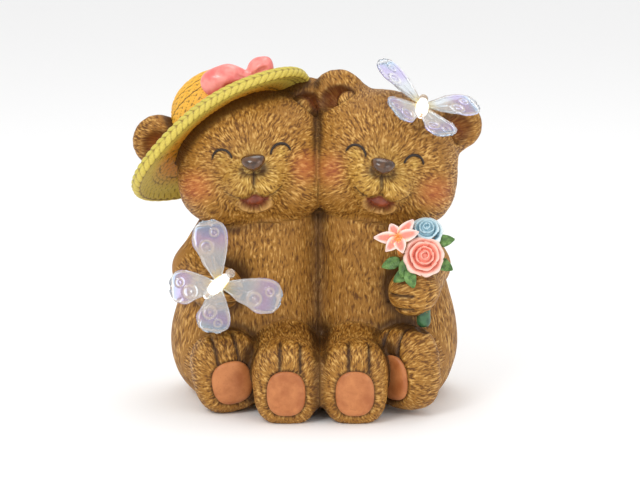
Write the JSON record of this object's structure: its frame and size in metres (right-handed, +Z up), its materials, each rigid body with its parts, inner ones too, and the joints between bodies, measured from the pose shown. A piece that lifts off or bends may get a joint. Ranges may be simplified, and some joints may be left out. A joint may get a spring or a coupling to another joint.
{
  "type": "garden statue of two bears with solar lights",
  "caption": "Resin garden statue of two seated bears side by side, one in a straw hat, with a bouquet and clear butterflies that light up from a solar panel in the back.",
  "frame": {"origin": "on the flat underside, between the two bears", "axes": "+Z up, the faces look along -Y, +X to the right as seen from the front"},
  "size_m": [0.2427, 0.1495, 0.244],
  "materials": {
    "painted_resin": "hand-painted golden brown resin with dark wash in the carving",
    "painted_flowers": "hand-painted glossy resin",
    "clear_plastic": "clear moulded plastic with an iridescent coat",
    "solar_cell": "dark cells under clear resin"
  },
  "bodies": {
    "root": {"bears": "painted_resin", "bouquet": "painted_flowers", "butterfly_on_paw": "clear_plastic", "butterfly_on_head": "clear_plastic", "solar_panel": "solar_cell"}
  },
  "joints": []
}
